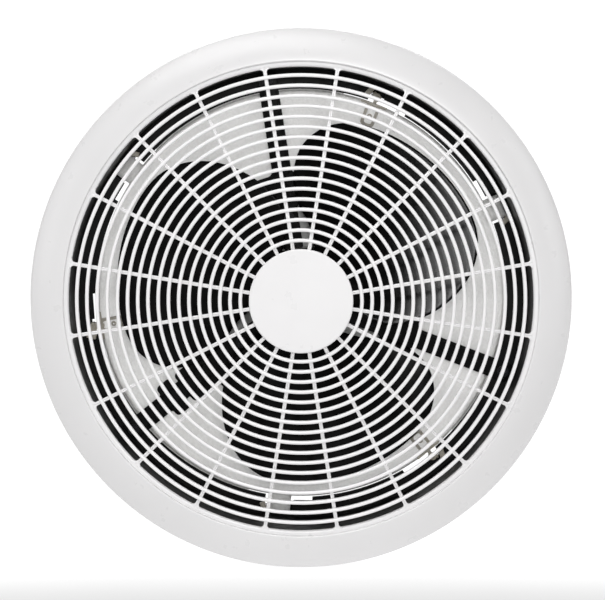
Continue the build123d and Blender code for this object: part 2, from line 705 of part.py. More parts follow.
def terminal_block():
    """The three-way block, with a wire hole and two screw wells in each way."""
    y = MOTOR_BACK_Y + BOX_SKIN
    body = block((-2, y, 4), (26, y + 11, 18))
    wires = []
    wells = []
    for x in TERMINAL_WAYS:
        wires.append(extrude(Plane(origin=(x, y + 4, 4)) * Circle(1.8), 14))
        wells += [post(1.9, (x, z), y + 5, y + 11) for z in TERMINAL_SCREW_Z]
    return body - (wires + wells)


def terminal_screws():
    """The brass clamp screws in the terminal block."""
    y = MOTOR_BACK_Y + BOX_SKIN
    return [
        post(1.8, (x, z), y + 6, y + 9.5) - slab(Pos(x, z) * Rectangle(4, 0.6), y + 8.7, y + 9.5)
        for x in TERMINAL_WAYS
        for z in TERMINAL_SCREW_Z
    ]


def run_capacitor():
    """The motor's capacitor, a moulded block beside the terminals."""
    y = MOTOR_BACK_Y + BOX_SKIN
    body = block((-33, y, -8), (-7, y + 20, 8))
    return fillet(body.edges().filter_by(Axis.Y), 2.0)


def earth_screw():
    """The brass earth screw in the box's floor."""
    return rear_screw(EARTH_SCREW_PLACE, MOTOR_BACK_Y + BOX_SKIN, 3.4, 2.0, 1.6, 2.0)


def cable_gland():
    """The gland's body, through the box's lower wall."""
    wall = -BOX_Z / 2
    hexagon = extrude(Plane(origin=(GLAND_X, GLAND_Y, wall - 5)) * RegularPolygon(9.5, 6), 5)
    body = hexagon + down_post(6.0, wall + 7, wall) + down_post(6.6, wall - 5, wall - 9)
    return body - down_post(4.6, wall + 7, wall - 9)


def gland_lock_nut():
    """The nut inside the box that holds the gland."""
    top = -BOX_Z / 2 + BOX_SKIN
    nut = extrude(Plane(origin=(GLAND_X, GLAND_Y, top)) * RegularPolygon(9.2, 6), 3.2)
    return nut - down_post(6.05, top + 3.2, top)


def gland_seal():
    """The rubber sleeve that grips the cable."""
    wall = -BOX_Z / 2
    return down_post(6.2, wall - 9.1, wall - 16) - down_post(CABLE_RADIUS, wall - 9.1, wall - 16)


def gland_cap():
    """The domed nut that squeezes the seal."""
    wall = -BOX_Z / 2
    body = down_post(8.6, wall - 5.2, wall - 18)
    body = fillet(body.edges().group_by(Axis.Z)[0], 2.0)
    cuts = down_post(6.65, wall - 5.2, wall - 9.1) + down_post(6.25, wall - 9.1, wall - 16.05)
    return body - [cuts, down_post(4.4, wall - 16.05, wall - 18)]


# Output -------------------------------------------------------------------------------------------

SINGLE_PARTS = (
    fascia_bezel, grille, centre_cap, mounting_flange, housing, outlet_plate, flange_gasket,
    hinge_lugs, hinge_pins, motor_bracket, bracket_screws, motor_screws, rubber_mounts,
    motor_front_cover, motor_rear_cover, cover_bolts, stator_core, stator_windings, front_bush, rear_bush,
    motor_shaft, drive_pin, shaft_clips, thrust_washers, rotor_core, rotor_cage, impeller,
    hub_washer, impeller_nut, terminal_box, terminal_box_lid, lid_screws, terminal_box_screws,
    terminal_block, terminal_screws, run_capacitor, earth_screw, cable_gland, gland_lock_nut,
    gland_seal, gland_cap,
)


def write(name, shape):
    """Write one node, as a group if it is several pieces."""
    if isinstance(shape, list):
        shape = Compound(children=shape)
    export_step(shape, f"parts/{name}.step")


os.makedirs("parts", exist_ok=True)
for make in SINGLE_PARTS:
    write(make.__name__, make())
for side, start_angle in FLAPS:
    write(f"flap_{side}", flap(start_angle))
    write(f"hinge_clip_{side}", hinge_clip(start_angle))
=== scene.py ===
import json
import math
from functools import lru_cache

import bmesh
import bpy
import numpy as np
from mathutils import Matrix, Vector


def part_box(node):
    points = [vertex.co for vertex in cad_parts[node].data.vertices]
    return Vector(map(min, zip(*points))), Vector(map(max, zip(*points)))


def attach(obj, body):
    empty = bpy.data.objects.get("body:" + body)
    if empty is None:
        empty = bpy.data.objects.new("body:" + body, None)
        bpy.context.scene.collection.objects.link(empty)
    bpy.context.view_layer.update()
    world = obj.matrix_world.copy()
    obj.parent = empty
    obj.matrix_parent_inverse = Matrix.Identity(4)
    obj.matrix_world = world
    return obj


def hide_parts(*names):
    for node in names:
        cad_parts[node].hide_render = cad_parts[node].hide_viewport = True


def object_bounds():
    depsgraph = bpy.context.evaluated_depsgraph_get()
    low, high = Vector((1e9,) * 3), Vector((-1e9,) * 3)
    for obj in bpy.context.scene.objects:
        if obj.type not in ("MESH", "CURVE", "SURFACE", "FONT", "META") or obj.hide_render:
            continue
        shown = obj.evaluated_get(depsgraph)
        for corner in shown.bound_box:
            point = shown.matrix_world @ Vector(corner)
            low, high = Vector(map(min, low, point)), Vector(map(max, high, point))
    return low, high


# The looks of a round exhaust fan: a white fascia over a black impeller and three grained flaps.
# Metres, on the CAD frame: the fan's axis is Y, the room is on the -Y side and +Z is up.
# Angles are in degrees from +X towards +Z, seen from the room.

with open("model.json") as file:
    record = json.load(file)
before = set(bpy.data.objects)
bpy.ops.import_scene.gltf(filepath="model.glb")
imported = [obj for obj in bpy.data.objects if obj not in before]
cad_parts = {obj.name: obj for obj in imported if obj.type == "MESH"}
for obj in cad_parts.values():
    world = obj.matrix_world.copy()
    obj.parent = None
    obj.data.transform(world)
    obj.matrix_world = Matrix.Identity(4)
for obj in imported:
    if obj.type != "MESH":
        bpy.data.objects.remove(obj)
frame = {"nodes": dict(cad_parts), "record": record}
CAD_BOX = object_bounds()
MM = 0.001
ARMS = (99.0, 219.0, 339.0)
LEAD_ARM = 219.0
FLAPS = {"upper_left": 99.0, "lower": 219.0, "upper_right": 339.0}
HINGE_FROM_START = 67.5
HINGE_SPREAD = 22.5
HINGE_DISTANCE = 131.2 * MM
TAB_END = 148.3 * MM
SEAL_GAP = 31.5
SNAP_LEGS = (60.0, 180.0, 300.0)
RING_COUNT = 17
SPOKE_COUNT = 20
SPOKE_START = 9.0
DOME_RADIUS = 924.0 * MM


@lru_cache(maxsize=None)
def box(node):
    """A CAD node's lowest and highest corner, worked out once."""
    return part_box(node)


def outer_radius(node):
    """How far a round node reaches from the fan's axis."""
    return box(node)[1].x


def front(node):
    """The depth of a node's room side."""
    return box(node)[0].y


def back(node):
    """The depth of a node's outlet side."""
    return box(node)[1].y


# Shape helpers ------------------------------------------------------------------------------------

def at(radius, angle):
    """The point at a radius and an angle, in the plane across the axis."""
    return radius * math.cos(math.radians(angle)), radius * math.sin(math.radians(angle))


def arc(centre, radius, start, end, steps):
    """Points along an arc, both ends included."""
    return [
        (centre[0] + p[0], centre[1] + p[1])
        for p in (at(radius, start + (end - start) * i / steps) for i in range(steps + 1))
    ]


def three_point_arc(a, b, c, steps):
    """Points along the arc from a through b to c."""
    ax, ay = a
    bx, by = b
    cx, cy = c
    d = 2 * (ax * (by - cy) + bx * (cy - ay) + cx * (ay - by))
    ux = ((ax**2 + ay**2) * (by - cy) + (bx**2 + by**2) * (cy - ay) + (cx**2 + cy**2) * (ay - by)) / d
    uy = ((ax**2 + ay**2) * (cx - bx) + (bx**2 + by**2) * (ax - cx) + (cx**2 + cy**2) * (bx - ax)) / d
    angles = [math.degrees(math.atan2(p[1] - uy, p[0] - ux)) for p in (a, b, c)]
    for i in (1, 2):
        while angles[i] - angles[0] > 180:
            angles[i] -= 360
        while angles[i] - angles[0] < -180:
            angles[i] += 360
    return arc((ux, uy), math.hypot(ax - ux, ay - uy), angles[0], angles[2], steps)


def rounded(points, steps=6):
    """A closed outline from (x, y, corner radius), with each corner turned into an arc."""
    made = []
    count = len(points)
    for i, (x, y, radius) in enumerate(points):
        if radius <= 0:
            made.append((x, y))
            continue
        corner = Vector((x, y))
        before = (Vector(points[i - 1][:2]) - corner).normalized()
        after = (Vector(points[(i + 1) % count][:2]) - corner).normalized()
        half = before.angle(after) / 2
        reach = radius / math.tan(half)
        a, b = corner + before * reach, corner + after * reach
        centre = corner + (before + after).normalized() * (radius / math.sin(half))
        start, end = a - centre, b - centre
        turn = start.angle_signed(end)
        for k in range(steps + 1):
            made.append(tuple(centre + Matrix.Rotation(-turn * k / steps, 2) @ start))
    return made


def oblong(width, height, corner):
    """A rounded rectangle round the origin, as corners for rounded()."""
    x, y = width / 2, height / 2
    return [(x, y, corner), (-x, y, corner), (-x, -y, corner), (x, -y, corner)]


def placed(outline, angle, along, across=0.0):
    """An outline moved out along a radius and sideways across it."""
    radial, tangent = at(1, angle), at(1, angle + 90)
    return [
        tuple(radial[i] * (p[0] + along) + tangent[i] * (p[1] + across) for i in range(2)) + p[2:]
        for p in outline
    ]


def area(outline):
    """Twice the signed area, above 0 if the outline runs counter-clockwise."""
    pairs = zip(outline, outline[1:] + outline[:1])
    return sum(a[0] * b[1] - b[0] * a[1] for a, b in pairs)


def inset(outline, distance):
    """The outline moved to its left by a distance, with mitred corners."""
    points = np.array(outline)
    ahead = np.roll(points, -1, 0) - points
    ahead /= np.linalg.norm(ahead, axis=1)[:, None]
    left = np.stack([-ahead[:, 1], ahead[:, 0]], 1)
    both = left + np.roll(left, 1, 0)
    both /= np.maximum((both**2).sum(1)[:, None] / 2, 0.6)
    return [tuple(p) for p in points + both * distance]


def tidy_loop(outline, gap=0.00002):
    """The outline without points that lie on each other."""
    kept = [outline[0]]
    for p in outline[1:]:
        if math.dist(p, kept[-1]) > gap:
            kept.append(p)
    return kept if math.dist(kept[0], kept[-1]) > gap else kept[:-1]


class Shape:
    """A mesh that grows piece by piece before it becomes an object."""

    def __init__(self):
        self.mesh = bmesh.new()

    def strip(self, loops, closed_across=False):
        """Quads between loops of the same length; each loop closes on itself."""
        rows = [[self.mesh.verts.new(p) for p in loop] for loop in loops]
        pairs = list(zip(rows, rows[1:]))
        if closed_across:
            pairs.append((rows[-1], rows[0]))
        for low, high in pairs:
            for i in range(len(low)):
                j = (i + 1) % len(low)
                self.mesh.faces.new((low[i], low[j], high[j], high[i]))
        return rows

    def lathe(self, profile, segments=360):
        """A closed profile of (radius, depth) turned about the fan's axis."""
        angles = [360 * i / segments for i in range(segments)]
        loops = [[(at(r, a)[0], y, at(r, a)[1]) for a in angles] for r, y in profile]
        self.strip(loops, closed_across=True)

    def plate(self, outline, y_front, y_back, edge=0.0004, back_edge=None, holes=(), steps=4):
        """A plate across the axis with round edges; outline and holes are lists of (x, z)."""
        back_edge = edge if back_edge is None else back_edge
        caps = [[], []]
        for k, loop in enumerate([outline, *holes]):
            loop = tidy_loop(loop)
            if (area(loop) > 0) == (k > 0):
                loop = loop[::-1]
            levels = []
            for i in range(steps + 1):
                a = math.pi / 2 * i / steps
                levels.append((edge * (1 - math.sin(a)), y_front + edge * (1 - math.cos(a))))
            for i in range(steps + 1):
                a = math.pi / 2 * (1 - i / steps)
                levels.append((back_edge * (1 - math.sin(a)), y_back - back_edge * (1 - math.cos(a))))
            loops = [[(x, y, z) for x, z in inset(loop, d)] for d, y in levels]
            rows = self.strip(loops)
            caps[0].append(rows[0])
            caps[1].append(rows[-1])
        for side, loops in enumerate(caps):
            edges = []
            for row in loops:
                for i in range(len(row)):
                    edges.append(self.mesh.edges.get((row[i], row[(i + 1) % len(row)])))
            normal = (0, -1, 0) if side == 0 else (0, 1, 0)
            bmesh.ops.triangle_fill(self.mesh, edges=edges, use_beauty=True, normal=normal)

    def post(self, radius, place, y_front, y_back, edge=0.0003, bore=0.0, segments=48):
        """A round post along the axis, with an optional hole through it."""
        holes = [arc(place, bore, 0, 360, segments)[:-1]] if bore else []
        outline = arc(place, radius, 0, 360, segments)[:-1]
        self.plate(outline, y_front, y_back, edge, holes=holes)

    def rod(self, a, b, radius, edge=0.0002, segments=24):
        """A round rod between two points, with small round ends."""
        a, b = Vector(a), Vector(b)
        ahead = (b - a).normalized()
        side = ahead.orthogonal().normalized()
        other = ahead.cross(side)
        stations = [(a, 0.0), (a, radius - edge), (a + ahead * edge, radius)]
        stations += [(b - ahead * edge, radius), (b, radius - edge), (b, 0.0)]
        loops = []
        for centre, r in stations:
            r = max(r, 0.00001)
            turns = [2 * math.pi * i / segments for i in range(segments)]
            loops.append([centre + side * (r * math.cos(t)) + other * (r * math.sin(t)) for t in turns])
        self.strip(loops)

    def done(self, name, body, nodes, material, angle=40):
        """Turn the shape into a piece that stands for its CAD nodes."""
        bmesh.ops.remove_doubles(self.mesh, verts=self.mesh.verts, dist=0.000004)
        bmesh.ops.recalc_face_normals(self.mesh, faces=self.mesh.faces)
        for face in self.mesh.faces:
            face.smooth = True
        for edge in self.mesh.edges:
            if len(edge.link_faces) == 2 and edge.calc_face_angle(0) > math.radians(angle):
                edge.smooth = False
        data = bpy.data.meshes.new(name)
        self.mesh.to_mesh(data)
        self.mesh.free()
        piece = bpy.data.objects.new(name, data)
        bpy.context.scene.collection.objects.link(piece)
        weights = piece.modifiers.new("even_shading", "WEIGHTED_NORMAL")
        weights.keep_sharp = True
        data.materials.append(material)
        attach(piece, body)
        if nodes:
            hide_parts(*nodes)
        return piece


# Materials ----------------------------------------------------------------------------------------

class Finish:
    """A Principled material and the nodes that feed it."""

    def __init__(self, name, colour, roughness, metallic=0.0, specular=0.5):
        self.material = bpy.data.materials.new(name)
        self.material.use_nodes = True
        self.tree = self.material.node_tree
        self.shader = self.tree.nodes["Principled BSDF"]
        self.shader.inputs["Metallic"].default_value = metallic
        self.shader.inputs["Specular IOR Level"].default_value = specular
        self.shader.inputs["Roughness"].default_value = roughness
        self.shader.inputs["Base Color"].default_value = (*colour, 1)
        self.place = self.tree.nodes.new("ShaderNodeTexCoord").outputs["Object"]
        self.normal = None

    def link(self, a, b):
        self.tree.links.new(a, b)

    def noise(self, size, detail=4.0, roughness=0.55, stretch=None):
        """Noise whose spots are about this size, in metres."""
        node = self.tree.nodes.new("ShaderNodeTexNoise")
        node.inputs["Scale"].default_value = 1 / size
        node.inputs["Detail"].default_value = detail
        node.inputs["Roughness"].default_value = roughness
        place = self.place
        if stretch:
            mapping = self.tree.nodes.new("ShaderNodeMapping")
            mapping.inputs["Scale"].default_value = stretch
            self.link(place, mapping.inputs["Vector"])
            place = mapping.outputs["Vector"]
        self.link(place, node.inputs["Vector"])
        return node.outputs["Fac"]

    def ramp(self, value, low, high, to_low, to_high):
        """The value carried from one range to another, as a number."""
        node = self.tree.nodes.new("ShaderNodeMapRange")
        for name, number in zip(("From Min", "From Max", "To Min", "To Max"), (low, high, to_low, to_high)):
            node.inputs[name].default_value = number
        self.link(value, node.inputs["Value"])
        return node.outputs["Result"]

    def tint(self, value, dark, light, low=0.3, high=0.7):
        """Two colours blended by a value."""
        node = self.tree.nodes.new("ShaderNodeValToRGB")
        node.color_ramp.elements[0].position = low
        node.color_ramp.elements[0].color = (*dark, 1)
        node.color_ramp.elements[1].position = high
        node.color_ramp.elements[1].color = (*light, 1)
        self.link(value, node.inputs["Fac"])
        self.link(node.outputs["Color"], self.shader.inputs["Base Color"])
        return node

    def bump(self, height, distance, strength=1.0):
        """Relief of this height, in metres, on top of what is there."""
        node = self.tree.nodes.new("ShaderNodeBump")
        node.inputs["Strength"].default_value = strength
        node.inputs["Distance"].default_value = distance
        self.link(height, node.inputs["Height"])
        if self.normal:
            self.link(self.normal, node.inputs["Normal"])
        self.normal = node.outputs["Normal"]
        self.link(self.normal, self.shader.inputs["Normal"])

    def soft_edges(self, radius):
        """Edges of carried-over CAD nodes catch the light as if they were rounded."""
        node = self.tree.nodes.new("ShaderNodeBevel")
        node.samples = 4
        node.inputs["Radius"].default_value = radius
        self.normal = node.outputs["Normal"]
        self.link(self.normal, self.shader.inputs["Normal"])

    def rough(self, value, low, high):
        """Roughness that varies with a value."""
        self.link(self.ramp(value, 0.3, 0.7, low, high), self.shader.inputs["Roughness"])


def white_gloss(name, shade):
    """Moulded white ABS: glossy, with faint flow and handling marks."""
    light = (shade, shade * 0.99, shade * 0.995)
    f = Finish(name, light, 0.3)
    f.tint(f.noise(0.06, 3), tuple(c * 0.97 for c in light), light)
    f.rough(f.noise(0.012, 5), 0.26, 0.36)
    f.bump(f.noise(0.0009, 3), 0.000004, 0.4)
    f.bump(f.noise(0.04, 2), 0.00006, 0.4)
    return f.material


def flap_white():
    """Warm off-white ABS with a fine leather grain, its valleys tinted darker as painted shade."""
    f = Finish("flap_white", (0.84, 0.83, 0.80), 0.55)
    f.shader.inputs["Subsurface Weight"].default_value = 0.6
    f.shader.inputs["Subsurface Radius"].default_value = (0.009, 0.009, 0.009)
    f.shader.inputs["Subsurface Scale"].default_value = 1.0
    cells = f.tree.nodes.new("ShaderNodeTexVoronoi")
    cells.feature = "SMOOTH_F1"
    cells.inputs["Scale"].default_value = 1 / 0.0016
    cells.inputs["Randomness"].default_value = 1.0
    warp = f.tree.nodes.new("ShaderNodeVectorMath")
    warp.operation = "MULTIPLY_ADD"
    wobble = f.tree.nodes.new("ShaderNodeTexNoise")
    wobble.inputs["Scale"].default_value = 1 / 0.0024
    f.link(f.place, wobble.inputs["Vector"])
    f.link(wobble.outputs["Color"], warp.inputs[0])
    warp.inputs[1].default_value = (0.0016, 0.0016, 0.0016)
    f.link(f.place, warp.inputs[2])
    f.link(warp.outputs["Vector"], cells.inputs["Vector"])
    # Warm off-white tone, lighter on the raised grain cells, with painted shade darkening the grain's
    # valleys.
    f.tint(cells.outputs["Distance"], (0.95, 0.935, 0.91), (0.87, 0.855, 0.83), 0.15, 0.75)
    f.rough(f.noise(0.004, 4), 0.48, 0.62)
    height = f.ramp(cells.outputs["Distance"], 0.0, 0.8, 1.0, 0.0)
    f.bump(height, 0.00022, 1.0)
    f.bump(f.noise(0.0005, 3), 0.00006, 0.8)
    return f.material


def black_plastic(name, roughness, edges=0.0, colour=0.0035):
    """Black moulded plastic with a very fine surface texture."""
    f = Finish(name, (colour, colour * 0.92, colour * 0.9), roughness, specular=0.11)
    if edges:
        f.soft_edges(edges)
    f.tint(f.noise(0.02, 4), (colour * 0.8,) * 3, (colour * 1.3, colour * 1.2, colour * 1.18))
    f.rough(f.noise(0.006, 5), roughness * 0.8, roughness * 1.25)
    f.bump(f.noise(0.0007, 3), 0.000012, 0.7)
    f.bump(f.noise(0.025, 2), 0.00012, 0.5)
    return f.material


def nylon():
    """Natural nylon: beige, waxy, a little translucent."""
    f = Finish("nylon", (0.52, 0.47, 0.39), 0.42)
    f.shader.inputs["Subsurface Weight"].default_value = 0.15
    f.shader.inputs["Subsurface Radius"].default_value = (0.002, 0.0016, 0.001)
    f.tint(f.noise(0.003, 4), (0.47, 0.43, 0.36), (0.60, 0.56, 0.49))
    f.rough(f.noise(0.001, 3), 0.35, 0.5)
    f.bump(f.noise(0.0008, 3), 0.00003, 0.6)
    return f.material


def painted_metal(name, colour, roughness, edges=0.0003):
    """Sprayed metal with orange peel and faint mottling."""
    f = Finish(name, colour, roughness)
    f.soft_edges(edges)
    dark = tuple(c * 0.86 for c in colour)
    light = tuple(min(1, c * 1.06) for c in colour)
    f.tint(f.noise(0.005, 6, 0.65), dark, light, 0.35, 0.62)
    f.rough(f.noise(0.003, 4), roughness * 0.85, roughness * 1.2)
    f.bump(f.noise(0.0012, 3), 0.00003, 0.8)
    return f.material


def bare_metal(name, colour, roughness, stretch=None, size=0.0012, edges=0.0002):
    """Bare or plated metal with fine lines and stains."""
    f = Finish(name, colour, roughness, metallic=1.0)
    f.soft_edges(edges)
    dark = tuple(c * 0.75 for c in colour)
    f.tint(f.noise(0.004, 5, 0.6), dark, colour, 0.3, 0.6)
    f.rough(f.noise(size, 4, stretch=stretch), roughness * 0.7, roughness * 1.35)
    f.bump(f.noise(size * 0.6, 3, stretch=stretch), 0.00001, 0.7)
    return f.material


def soft_black(name, colour, roughness, size, depth):
    """Rubber or foam: matt, with pores."""
    f = Finish(name, (colour,) * 3, roughness, specular=0.3)
    f.tint(f.noise(0.004, 4), (colour * 0.7,) * 3, (colour * 1.3,) * 3)
    f.rough(f.noise(0.002, 3), roughness * 0.9, min(1, roughness * 1.1))
    f.bump(f.noise(size, 5), depth, 0.9)
    return f.material


def moulded(name, colour, roughness, edges=0.0003):
    """Plain moulded plastic of a colour."""
    f = Finish(name, colour, roughness)
    f.soft_edges(edges)
    f.tint(f.noise(0.006, 4), tuple(c * 0.9 for c in colour), colour)
    f.rough(f.noise(0.003, 4), roughness * 0.85, roughness * 1.2)
    f.bump(f.noise(0.0008, 3), 0.00002, 0.7)
    return f.material


WHITE = white_gloss("white_gloss", 0.74)
BEZEL_WHITE = white_gloss("bezel_white", 0.64)
CAP_WHITE = white_gloss("cap_white", 0.70)
FLAP = flap_white()
GLOSS = black_plastic("black_gloss", 0.16)
NYLON = nylon()
CARRIED = {
    "black_gloss": black_plastic("black_gloss_cad", 0.18, 0.0004),
    "black_satin": black_plastic("black_satin", 0.38, 0.0004, 0.004),
    "motor_grey": painted_metal("motor_grey", (0.50, 0.50, 0.49), 0.38),
    "black_oxide": bare_metal("black_oxide", (0.02, 0.02, 0.022), 0.4),
    "zinc": bare_metal("zinc", (0.62, 0.60, 0.52), 0.3),
    "steel": bare_metal("steel", (0.56, 0.56, 0.58), 0.25, (1, 12, 1)),
    "bronze": bare_metal("bronze", (0.48, 0.29, 0.12), 0.4),
    "brass": bare_metal("brass", (0.71, 0.52, 0.22), 0.28),
    "copper": bare_metal("copper", (0.72, 0.30, 0.16), 0.3, (6, 1, 6), 0.0006),
    "laminations": bare_metal("laminations", (0.33, 0.33, 0.35), 0.45, (1, 30, 1), 0.0008),
    "aluminium": bare_metal("aluminium", (0.72, 0.72, 0.73), 0.42),
    "rubber": soft_black("rubber", 0.012, 0.72, 0.0006, 0.00003),
    "foam": soft_black("foam", 0.02, 0.95, 0.0007, 0.0004),
    "nylon": NYLON,
    "white_gloss": WHITE,
    "flap_white": FLAP,
    "terminal_white": moulded("terminal_white", (0.75, 0.74, 0.70), 0.4),
    "capacitor_grey": moulded("capacitor_grey", (0.22, 0.22, 0.23), 0.45),
}


# Fascia -------------------------------------------------------------------------------------------

def dome(radius):
    """The depth of the grille's domed front at a radius."""
    rings_front = front("grille")
    first = DOME_RADIUS - math.sqrt(DOME_RADIUS**2 - RING_FIRST**2)
    return rings_front - first + DOME_RADIUS - math.sqrt(DOME_RADIUS**2 - radius**2)


BEZEL_R = outer_radius("fascia_bezel")
RIM_R = outer_radius("grille")
BEZEL_INNER = RIM_R - 3.2 * MM
OPENING = RIM_R - 6.5 * MM
RING_FIRST = 39.5 * MM
RING_PITCH = (OPENING - 5.46 * MM - RING_FIRST) / (RING_COUNT - 1)
RING_WIDTH = 2.45 * MM


def bezel():
    """The convex ring, its rolled inner lip and three snap legs."""
    y = front("fascia_bezel")
    seat = y + 2.6 * MM
    s = Shape()
    outer = [(BEZEL_INNER, seat), (BEZEL_INNER, y + 1.1 * MM)]
    lip = (BEZEL_INNER + 1.2 * MM, y + 0.02 * MM)
    outer += three_point_arc(outer[-1], (BEZEL_INNER + 0.34 * MM, y + 0.34 * MM), lip, 6)[1:]
    shoulder = (BEZEL_R - 1.4 * MM, -6.2 * MM)
    outer += three_point_arc(lip, (BEZEL_R - 11 * MM, y + 3.2 * MM), shoulder, 26)[1:]
    outer += three_point_arc(shoulder, (BEZEL_R - 0.4 * MM, -4.7 * MM), (BEZEL_R, -3 * MM), 8)[1:]
    outer += [(BEZEL_R, -1.2 * MM), (BEZEL_R, -0.4 * MM)]
    outer += arc((BEZEL_R - 0.4 * MM, -0.4 * MM), 0.4 * MM, 0, 90, 4)[1:]
    inner = BEZEL_R - 2.5 * MM
    outer += [(inner + 0.3 * MM, 0.0), (inner, -0.3 * MM), (inner, -3.2 * MM)]
    outer += three_point_arc(outer[-1], (BEZEL_R - 11 * MM, -9.6 * MM), (160 * MM, seat), 16)[1:]
    s.lathe(outer, 480)
    for angle in SNAP_LEGS:
        leg = placed(rounded(oblong(2.0 * MM, 14 * MM, 0.5 * MM)), angle, 160.5 * MM)
        barb = placed(rounded(oblong(2.2 * MM, 13.8 * MM, 0.5 * MM)), angle, 161.1 * MM)
        s.plate(leg, seat + 0.5 * MM, back("fascia_bezel"), 0.4 * MM)
        s.plate(barb, 1.2 * MM, 4.0 * MM, 0.5 * MM)
    return s.done("bezel", "fascia", ["fascia_bezel"], BEZEL_WHITE)


def ring_profile(radius):
    """A ring's section: a crowned front with round shoulders and drafted sides."""
    y = dome(radius)
    half = RING_WIDTH / 2
    crown = [(-1.0, 1.25), (-0.97, 0.85), (-0.86, 0.48), (-0.66, 0.2), (-0.36, 0.05), (0.0, 0.0)]
    profile = [(radius + half * t, y + d * MM) for t, d in crown]
    profile += [(radius - half * t, y + d * MM) for t, d in reversed(crown[:-1])]
    deep = y + 4.2 * MM
    profile += [(radius + half * 0.86, deep - 0.3 * MM), (radius + half * 0.66, deep)]
    profile += [(radius - half * 0.66, deep), (radius - half * 0.86, deep - 0.3 * MM)]
    return profile


def spoke_width(radius):
    """Half the spoke's width: it flares into the rim with a round fillet."""
    fillet = 2.0 * MM
    start = OPENING - fillet
    grow = 0.0
    if radius > start:
        t = min(radius - start, fillet)
        grow = fillet - math.sqrt(fillet**2 - t**2)
    return 1.25 * MM + grow


def spoke(s, angle):
    """One spoke behind the rings, with a shallow groove along its middle."""
    section = [(-1.0, 0.9), (-0.96, 0.4), (-0.8, 0.1), (-0.55, 0.0), (-0.24, 0.02), (0.0, 0.42),
               (0.24, 0.02), (0.55, 0.0), (0.8, 0.1), (0.96, 0.4), (1.0, 0.9), (0.9, 3.0), (-0.9, 3.0)]
    start, end = outer_radius("centre_cap") - 2 * MM, OPENING + 1.2 * MM
    fine = [OPENING - 2.0 * MM + 0.2 * MM * i for i in range(11)]
    stations = [start + (fine[0] - start) * i / 30 for i in range(30)] + fine + [end]
    radial, tangent = at(1, angle), at(1, angle + 90)
    loops = []
    for r in stations:
        half = spoke_width(r)
        behind = dome(r) + 1.6 * MM
        loop = []
        for t, d in section:
            across = half * t
            loop.append((radial[0] * r + tangent[0] * across, behind + d * MM,
                         radial[1] * r + tangent[1] * across))
        loops.append(loop)
    rows = s.strip(loops)
    s.mesh.faces.new(rows[0])
    s.mesh.faces.new(rows[-1])


def grille():
    """Rings, spokes, rim and centre plate."""
    s = Shape()
    for i in range(RING_COUNT):
        s.lathe(ring_profile(RING_FIRST + RING_PITCH * i), 300)
    for i in range(SPOKE_COUNT):
        spoke(s, SPOKE_START + 360 / SPOKE_COUNT * i)
    y = front("fascia_bezel") + 2.6 * MM
    rim = [(OPENING, y + 2.2 * MM), (OPENING, y + 1.6 * MM)]
    rim += three_point_arc(rim[-1], (OPENING + 0.47 * MM, y + 0.47 * MM), (OPENING + 1.6 * MM, y), 6)[1:]
    rim += [(RIM_R - 0.3 * MM, y), (RIM_R, y + 0.3 * MM), (RIM_R, y + 2.2 * MM)]
    rim += [(RIM_R - 0.3 * MM, y + 2.5 * MM), (OPENING + 0.3 * MM, y + 2.5 * MM)]
    s.lathe(rim, 480)
    plate_r = outer_radius("centre_cap") - 0.5 * MM
    y = front("centre_cap") + 1.45 * MM
    s.lathe([(5.0 * MM, y), (plate_r, y), (plate_r, y + 2.8 * MM), (5.0 * MM, y + 2.8 * MM)], 240)
    return s.done("grille_moulding", "fascia", ["grille"], WHITE)


def cap():
    """The blank disc, crisp at its edge, on its peg."""
    y = front("centre_cap")
    r = outer_radius("centre_cap")
    peg = y + 5.4 * MM
    profile = [(0.01 * MM, y), (r - 3 * MM, y), (r - 1.3 * MM, y)]
    profile += arc((r - 0.9 * MM, y + 0.9 * MM), 0.9 * MM, 270, 360, 8)
    profile += [(r, y + 1.2 * MM), (r - 0.2 * MM, y + 1.4 * MM), (4.8 * MM, y + 1.4 * MM)]
    profile += [(4.8 * MM, peg - 0.4 * MM), (4.4 * MM, peg), (0.01 * MM, peg)]
    s = Shape()
    s.lathe(profile, 360)
    return s.done("cap", "fascia", ["centre_cap"], CAP_WHITE)


# Impeller -----------------------------------------------------------------------------------------

PETAL = (
    (70, 30), (84, 48), (92, 62), (93.3, 84), (90.5, 98), (85, 109.5), (78, 117.5), (68, 121.6),
    (50, 124.4), (31, 126), (18, 123.8), (7, 113), (-2.5, 97), (-11.5, 78), (-17.5, 62),
    (-17, 46), (-2, 30), (35, 25),
)


def smooth_loop(points, count):
    """A periodic cubic through points, spaced by its chords."""
    p = np.array(points)
    n = len(p)
    h = np.linalg.norm(np.roll(p, -1, 0) - p, axis=1)
    matrix = np.zeros((n, n))
    rhs = np.zeros((n, 2))
    for i in range(n):
        before, after = h[i - 1], h[i]
        matrix[i, i - 1] += before
        matrix[i, i] += 2 * (before + after)
        matrix[i, (i + 1) % n] += after
        rhs[i] = 6 * ((p[(i + 1) % n] - p[i]) / after - (p[i] - p[i - 1]) / before)
    m = np.linalg.solve(matrix, rhs)
    ends = np.concatenate([[0], np.cumsum(h)])
    made = []
    for u in np.linspace(0, ends[-1], count, endpoint=False):
        i = min(int(np.searchsorted(ends, u, side="right")) - 1, n - 1)
        j, t, s = (i + 1) % n, u - ends[i], ends[i + 1] - u
        made.append(
            (m[i] * s**3 + m[j] * t**3) / (6 * h[i])
            + (p[i] / h[i] - m[i] * h[i] / 6) * s
            + (p[j] / h[i] - m[j] * h[i] / 6) * t
        )
    return np.array(made)


